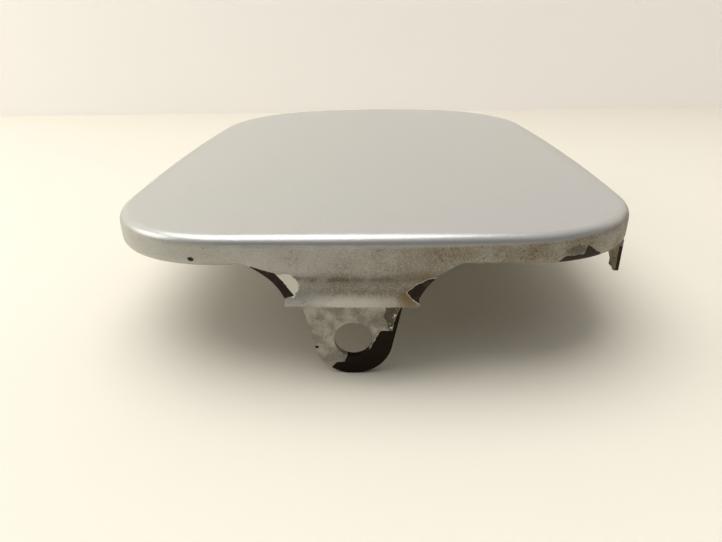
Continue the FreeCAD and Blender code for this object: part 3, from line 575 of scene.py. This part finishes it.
def add_to_scene(name, data):
    """A new object that holds a mesh, a lamp or a camera."""
    made = bpy.data.objects.new(name, data)
    bpy.context.scene.collection.objects.link(made)
    return made


def finished_mesh(name, shape):
    """A mesh from a shape that is built, which is then freed."""
    mesh = bpy.data.meshes.new(name)
    shape.to_mesh(mesh)
    shape.free()
    return mesh


class FLAP_OT_paint_skin(bpy.types.Operator):
    """Paint the outer skin in worn silver with dust on the skirt, darker to its right with painted
    shade, painted light on the lip, and flaked shoulders and corner
    """

    bl_idname = "flap.paint_skin"
    bl_label = "Paint outer skin"

    def execute(self, context):
        paint = context.scene.flap_paint
        wear = context.scene.flap_wear
        finish = Finish("skin_paint")
        wires = finish.wires
        across, along, height = wires.split(finish.spot)
        flaked_end = SKIN_LOW.y + wear.front_depth
        front = wires.ramp(along, flaked_end + wear.front_fade, flaked_end)
        bend = self.bend_line(finish, wear, height)
        coat = finish.coat(paint, paint.silver, self.dust_and_shade_cover(wires, wear, across, height, bend))
        steel = finish.steel(paint.bare, paint.rust)
        bare, pale = (wires.both(front, mask) for mask in self.flaked(finish, wear))
        tone = wires.layer(
            coat["Color"],
            # Painted light: pale primer tone on the lip, for the light it catches facing up.
            (wires.both(front, self.painted_lip_light(finish)), paint.primer),
            # A dark scuff, and a darker band along the bend line.
            (wires.both(front, self.dirt(finish, bend)), paint.grime),
            (wires.both(front, self.rust_stain(finish)), paint.stain),
            (pale, paint.primer),
            (bare, steel["Color"]),
        )
        off = wires.either(bare, pale)
        clean = wires.without(wires.either(off, coat["Dusty"]))
        finish.set(
            base_color=tone,
            roughness=wires.blend(off, coat["Roughness"], steel["Roughness"]),
            metallic=wires.part(clean, paint.metal),
            coat_weight=wires.part(clean, paint.coat),
            coat_roughness=0.1,
            specular_ior_level=0.25,
        )
        paint_layer = wires.line(off, -1.5, wires.part(coat["Height"], 0.3))
        finish.relief(wires.line(wires.both(bare, steel["Height"]), 0.5, paint_layer), paint.skin_relief)
        dress("outer_skin", finish)
        return {"FINISHED"}

    def flaked(self, finish, wear):
        """Where the paint is off down to the steel, and where pale primer shows."""
        wires = finish.wires
        right = finish.torn(finish.depth(RIGHT_FLAKE), wear.ragged, wear.rim)
        others = finish.torn(finish.depth(LEFT_FLAKE, CORNER_FLAKE, CORNER_PEAK, TAB_EDGE), wear.ragged)
        primer = finish.torn(finish.depth(LEFT_PRIMER), wear.ragged * 2.5, grain=550.0)
        bare = wires.either(others["Bare"], right["Bare"], finish.patch(*SKIRT_NICK))
        pale = wires.either(primer["Bare"], wires.part(right["Rim"], 0.6))
        return bare, pale

    def bend_line(self, finish, wear, height):
        """Darker along the tongue's bend line."""
        wires = finish.wires
        near = wires.maths("ABSOLUTE", wires.maths("SUBTRACT", height, wear.bend_height))
        patchy = finish.mottle(0.2, 0.6, scale=260.0, detail=4.0, roughness=0.6)
        return wires.both(wires.ramp(near, wear.bend_width, 0.0), patchy)

    def dust_and_shade_cover(self, wires, wear, across, height, bend):
        """More dust towards the right of the skirt, partly real dust and partly painted shade of its
        right side, a little more on the lip, and the darker band along the bend.
        """
        skirt = wires.ramp(height, wear.dust_top, wear.dust_top - wear.dust_fade)
        # Painted shade and dust: the cover grows towards the right, darkening the skirt's right side.
        rightwards_dust_and_shade = wires.ramp(across, wear.dust_from, wear.dust_to)
        cover = wires.both(skirt, wires.blend(rightwards_dust_and_shade, wear.dust_left, wear.dust_right))
        lip_top = wear.bend_height - 0.0008
        lip_full = wear.bend_height - 0.0030
        lip = wires.ramp(height, lip_top, lip_full)
        return wires.either(wires.both(cover, wires.line(lip, wear.lip_dust, 1.0)), bend)

    def painted_lip_light(self, finish):
        """Painted light on the lip: a pale primer tone that stands in for the light the upward-flared
        lip catches.
        """
        lip = finish.patch(*LIP_PAINTED_LIGHT, ragged=0.5, grain=500.0, fade=0.9)
        return finish.wires.part(lip, 0.6)

    def dirt(self, finish, bend):
        """A dark scuff beside the flaked corner, and the darker band along the bend."""
        wires = finish.wires
        scuff = finish.patch(*CORNER_SCUFF, ragged=1.2, grain=600.0, fade=0.6)
        return wires.either(wires.part(scuff, 0.65), wires.part(bend, 0.5))

    def rust_stain(self, finish):
        """Rust run onto the paint beside the right shoulder's flaked patch."""
        wires = finish.wires
        beside = finish.patch(*STAIN_BESIDE, ragged=1.0, grain=500.0, fade=0.8)
        above = finish.patch(*STAIN_ABOVE, ragged=1.0, grain=400.0, fade=1.0)
        return wires.either(wires.part(beside, 0.85), wires.part(above, 0.45))


class FLAP_OT_paint_panel(bpy.types.Operator):
    """Paint the reinforcement in thin dusty silver"""

    bl_idname = "flap.paint_panel"
    bl_label = "Paint inner panel"

    def execute(self, context):
        paint = context.scene.flap_paint
        finish = Finish("panel_paint")
        wires = finish.wires
        coat = finish.coat(paint, paint.inner_silver, context.scene.flap_wear.panel_dust)
        finish.set(
            base_color=coat["Color"],
            roughness=wires.maths("ADD", coat["Roughness"], 0.1),
            metallic=wires.part(wires.without(coat["Dusty"]), paint.inner_metal),
        )
        finish.relief(coat["Height"], paint.dust_relief)
        dress("inner_panel", finish)
        return {"FINISHED"}


class FLAP_OT_paint_lug(bpy.types.Operator):
    """Paint the lock lug in dirty silver, flaked off to dark rust round the eye"""

    bl_idname = "flap.paint_lug"
    bl_label = "Paint lock lug"

    def execute(self, context):
        paint = context.scene.flap_paint
        wear = context.scene.flap_wear
        finish = Finish("lug_paint")
        wires = finish.wires
        coat = finish.coat(paint, paint.inner_silver, wear.lug_dust)
        steel = finish.steel(paint.scale, paint.bare)
        edge_depth = finish.depth(LUG_EDGE)
        depth = wires.either(edge_depth, finish.depth(LUG_RIGHT, LUG_UNDER_EYE, LUG_BOTTOM))
        flaked = finish.torn(depth, wear.ragged * 1.4, wear.rim * 0.5)
        bare = wires.either(flaked["Bare"], finish.patch(*LUG_NICK))
        grey = finish.torn(finish.depth(LUG_GREY), wear.ragged * 3.0, grain=450.0)["Bare"]
        pale_mottle = finish.mottle(0.4, 0.62, scale=230.0, detail=4.0, roughness=0.6)
        pits = finish.mottle(0.70, 0.76, scale=1300.0, detail=2.0, roughness=0.5)
        tone = wires.layer(
            coat["Color"],
            (wires.part(pale_mottle, 0.5), paint.primer),
            (wires.part(pits, 0.7), paint.grime),
            (wires.part(grey, 0.85), paint.grime),
            (wires.both(grey, self.edge_flecks(finish, edge_depth)), paint.primer),
            (wires.part(flaked["Rim"], 0.5), paint.primer),
            (bare, steel["Color"]),
        )
        clean = wires.without(wires.either(bare, grey, coat["Dusty"]))
        finish.set(
            base_color=tone,
            roughness=wires.blend(bare, wires.maths("ADD", coat["Roughness"], 0.12), steel["Roughness"]),
            metallic=wires.part(clean, paint.lug_metal),
            specular_ior_level=0.12,
        )
        paint_layer = wires.line(bare, -1.2, wires.part(coat["Height"], 0.3))
        finish.relief(wires.line(wires.both(bare, steel["Height"]), 0.5, paint_layer), paint.lug_relief)
        dress("lock_lug", finish)
        return {"FINISHED"}

    def edge_flecks(self, finish, edge_depth):
        """Pale flecks in a narrow band beside the flaked right edge."""
        wires = finish.wires
        band = wires.ramp(edge_depth, -0.0014, -0.0005)
        return wires.both(band, finish.mottle(0.58, 0.64, scale=900.0, detail=3.0, roughness=0.6))


class FLAP_OT_paint_strap(bpy.types.Operator):
    """Paint the hinge strap in thin silver, worn bright in its eye"""

    bl_idname = "flap.paint_strap"
    bl_label = "Paint hinge strap"

    def execute(self, context):
        paint = context.scene.flap_paint
        finish = Finish("strap_paint")
        wires = finish.wires
        coat = finish.coat(paint, paint.inner_silver, context.scene.flap_wear.strap_dust)
        steel = finish.steel(paint.bare, paint.rust)
        from_axis = wires.vector("LENGTH", wires.vector("MULTIPLY", finish.spot, SIDE_VIEW))
        rubbed = wires.ramp(from_axis, PIN_RADIUS + 0.0005, PIN_RADIUS + 0.0001)
        near_eye = wires.ramp(from_axis, 0.03, 0.006)
        scuff = wires.both(finish.mottle(0.6, 0.66, scale=260.0, detail=5.0, roughness=0.65), near_eye)
        clean = wires.without(wires.either(scuff, coat["Dusty"]))
        rough = wires.blend(scuff, coat["Roughness"], steel["Roughness"])
        finish.set(
            base_color=wires.layer(coat["Color"], (scuff, steel["Color"]), (rubbed, paint.worn_steel)),
            roughness=wires.blend(rubbed, rough, 0.32),
            metallic=wires.either(rubbed, wires.part(clean, paint.inner_metal)),
        )
        finish.relief(coat["Height"], paint.dust_relief)
        dress("hinge_strap", finish)
        return {"FINISHED"}


class FLAP_OT_add_welds(bpy.types.Operator):
    """Set spot welds on the hidden sides of the hem, the lug's foot and the strap's foot"""

    bl_idname = "flap.add_welds"
    bl_label = "Add spot welds"

    def execute(self, context):
        welds = context.scene.flap_welds
        context.view_layer.update()
        self.weld_row("strap_welds", "hinge_strap", self.strap_places(), welds)
        self.weld_row("lug_welds", "lock_lug", self.lug_places(), welds)
        self.weld_row("hem_welds", "outer_skin", self.hem_places(welds), welds)
        return {"FINISHED"}

    def strap_places(self):
        """Rows and columns on the strap's foot."""
        return [(column * STRAP_HIGH.x, STRAP_LOW.y + row)
                for column in STRAP_COLUMNS for row in STRAP_ROWS]

    def lug_places(self):
        """One row on the lug's foot."""
        middle = (LUG_LOW.x + LUG_HIGH.x) / 2
        return [(middle + column, LUG_HIGH.y - LUG_ROW) for column in LUG_COLUMNS]

    def hem_places(self, welds):
        """Even steps along both long sides of the hem, inset from the skirt that stands there."""
        skin = frame["nodes"]["outer_skin"]
        outside = 0.2
        skirt_height = SKIN_LOW.z + 0.011
        places = []
        for side in (-1, 1):
            for step in range(welds.hem_count):
                along_skin = HEM_START + HEM_SPAN * step / (welds.hem_count - 1)
                along = SKIN_LOW.y + (SKIN_HIGH.y - SKIN_LOW.y) * along_skin
                start = Vector((side * outside, along, skirt_height))
                skirt, out = self.hit(skin, start, Vector((-side, 0.0, 0.0)))
                places.append((skirt.x - side * welds.inset, along))
        return places

    def weld_row(self, name, node_name, places, welds):
        """One piece that holds the welds of a node, each set on the node's underside."""
        carrier = frame["nodes"][node_name]
        below = FLOOR_LEVEL - 0.01
        shape = bmesh.new()
        for across, along in places:
            where, out = self.hit(carrier, Vector((across, along, below)), Vector((0.0, 0.0, 1.0)))
            self.spot_weld(shape, where, out, welds)
        mesh = finished_mesh(name, shape)
        for face in mesh.polygons:
            face.use_smooth = True
        mesh.materials.append(carrier.material_slots[0].material)
        piece = add_to_scene(name, mesh)
        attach(piece, BODY)

    def hit(self, carrier, start, towards):
        """Where a ray first meets a node, and the direction out of its surface there."""
        found, where, out, face = carrier.ray_cast(start, towards)
        if not found:
            raise RuntimeError("no surface for a weld on " + carrier.name)
        return where, out

    def spot_weld(self, shape, where, out, welds):
        """A shallow round dent with a raised rim."""
        turn = out.to_track_quat("Z", "Y").to_matrix()
        rings = []
        for wide, high in WELD_SECTION:
            ring = []
            for step in range(WELD_SIDES):
                around = 2 * math.pi * step / WELD_SIDES
                local = Vector((math.cos(around) * wide * welds.radius,
                                math.sin(around) * wide * welds.radius, high * welds.height))
                ring.append(shape.verts.new(where + turn @ local))
            rings.append(ring)
        for outer, inner in zip(rings, rings[1:]):
            for step in range(WELD_SIDES):
                after = (step + 1) % WELD_SIDES
                shape.faces.new((outer[step], outer[after], inner[after], inner[step]))
        shape.faces.new(rings[-1])


def lamp(name, spot, target, size, power, tint):
    """A round soft lamp that looks at a target."""
    light = bpy.data.lights.new(name, "AREA")
    light.shape = "DISK"
    light.size = size
    light.energy = power
    light.color = tint
    carrier = add_to_scene(name, light)
    carrier.location = spot
    carrier.rotation_euler = (target - Vector(spot)).to_track_quat("-Z", "Y").to_euler()


def flat_sheet(name, corners):
    """A flat part of the stage with four corners."""
    shape = bmesh.new()
    shape.faces.new([shape.verts.new(corner) for corner in corners])
    sheet = add_to_scene(name, finished_mesh(name, shape))
    return sheet


class FLAP_OT_set_stage(bpy.types.Operator):
    """Set up the table, the backdrop, the lamps and the camera"""

    bl_idname = "flap.set_stage"
    bl_label = "Set stage"

    def execute(self, context):
        stage = context.scene.flap_stage
        context.scene.view_settings.view_transform = "Standard"
        self.make_floor(stage)
        self.make_wall(stage)
        self.make_room(context, stage)
        self.make_lamps(stage)
        self.make_camera(context, stage)
        return {"FINISHED"}

    def make_floor(self, stage):
        reach = stage.reach
        floor = flat_sheet("table", [(-reach, -reach, FLOOR_LEVEL), (reach, -reach, FLOOR_LEVEL),
                                     (reach, reach, FLOOR_LEVEL), (-reach, reach, FLOOR_LEVEL)])
        finish = Finish("table_top")
        wires = finish.wires
        grain = wires.part(finish.mottle(0.3, 0.7, scale=35.0, detail=4.0), 0.04)
        finish.set(base_color=wires.mix(grain, stage.floor, stage.wall), roughness=0.7)
        finish.show_one_side()
        floor.data.materials.append(finish.material)

    def make_wall(self, stage):
        reach = stage.reach
        back = stage.wall_back
        top = FLOOR_LEVEL + stage.wall_height
        wall = flat_sheet("backdrop", [(-reach, back, FLOOR_LEVEL), (reach, back, FLOOR_LEVEL),
                                       (reach, back, top), (-reach, back, top)])
        finish = Finish("backdrop_paint")
        finish.set(base_color=stage.wall, roughness=0.8,
                   emission_color=stage.wall, emission_strength=stage.wall_glow)
        finish.show_one_side()
        wall.data.materials.append(finish.material)

    def make_room(self, context, stage):
        """Light from one side of the room, and white where the camera looks past the stage."""
        world = bpy.data.worlds.new("room")
        world.use_nodes = True
        wires = Wires(world.node_tree)
        towards = wires.node("ShaderNodeTexCoord").outputs["Generated"]
        facing = wires.ramp(wires.vector("DOT_PRODUCT", towards, stage.room_side), 0.25, 0.85)
        ray = wires.node("ShaderNodeLightPath").outputs
        dark_side = wires.blend(ray["Is Glossy Ray"], stage.room_low, stage.room_shine)
        lit = wires.blend(facing, dark_side, stage.room_high)
        strength = wires.blend(ray["Is Camera Ray"], lit, 1.0)
        wires.feed(wires.found("BACKGROUND"), color=stage.room, strength=strength)
        context.scene.world = world

    def make_lamps(self, stage):
        middle = (SKIN_LOW + SKIN_HIGH) / 2
        lamp("softbox", stage.key, middle, stage.key_size, stage.key_power, stage.lamp_tint)
        lamp("side_lamp", stage.side, middle, stage.side_size, stage.side_power, stage.lamp_tint)

    def make_camera(self, context, stage):
        data = bpy.data.cameras.new("camera")
        data.sensor_width = 36.0
        data.lens = stage.lens
        data.clip_start = 0.01
        camera = add_to_scene("camera", data)
        tilt = math.radians(90) - stage.pitch
        turn = (Matrix.Rotation(stage.yaw, 4, "Z") @ Matrix.Rotation(tilt, 4, "X")
                @ Matrix.Rotation(stage.roll, 4, "Z"))
        camera.matrix_world = Matrix.Translation(stage.camera) @ turn
        context.scene.camera = camera


STEPS = [FLAP_OT_paint_skin, FLAP_OT_paint_panel, FLAP_OT_paint_lug, FLAP_OT_paint_strap,
         FLAP_OT_add_welds, FLAP_OT_set_stage]


class FLAP_PT_dressing(bpy.types.Panel):
    """Lists the steps that dress the flap"""

    bl_idname = "FLAP_PT_dressing"
    bl_label = "Fuel Filler Flap"
    bl_space_type = "VIEW_3D"
    bl_region_type = "UI"
    bl_category = "Flap"

    def draw(self, context):
        for step in STEPS:
            self.layout.operator(step.bl_idname)
        for word in SETTINGS:
            settings = getattr(context.scene, word)
            column = self.layout.column()
            for name in settings.bl_rna.properties.keys():
                if name not in ("rna_type", "name"):
                    column.prop(settings, name)


CLASSES = [*SETTINGS.values(), *STEPS, FLAP_PT_dressing]


def register():
    for kind in CLASSES:
        bpy.utils.register_class(kind)
    for word, kind in SETTINGS.items():
        setattr(bpy.types.Scene, word, PointerProperty(type=kind))


def unregister():
    for word in SETTINGS:
        delattr(bpy.types.Scene, word)
    for kind in reversed(CLASSES):
        bpy.utils.unregister_class(kind)


def main():
    register()
    bpy.ops.flap.paint_skin()
    bpy.ops.flap.paint_panel()
    bpy.ops.flap.paint_lug()
    bpy.ops.flap.paint_strap()
    bpy.ops.flap.add_welds()
    bpy.ops.flap.set_stage()


if __name__ == "__main__":
    main()
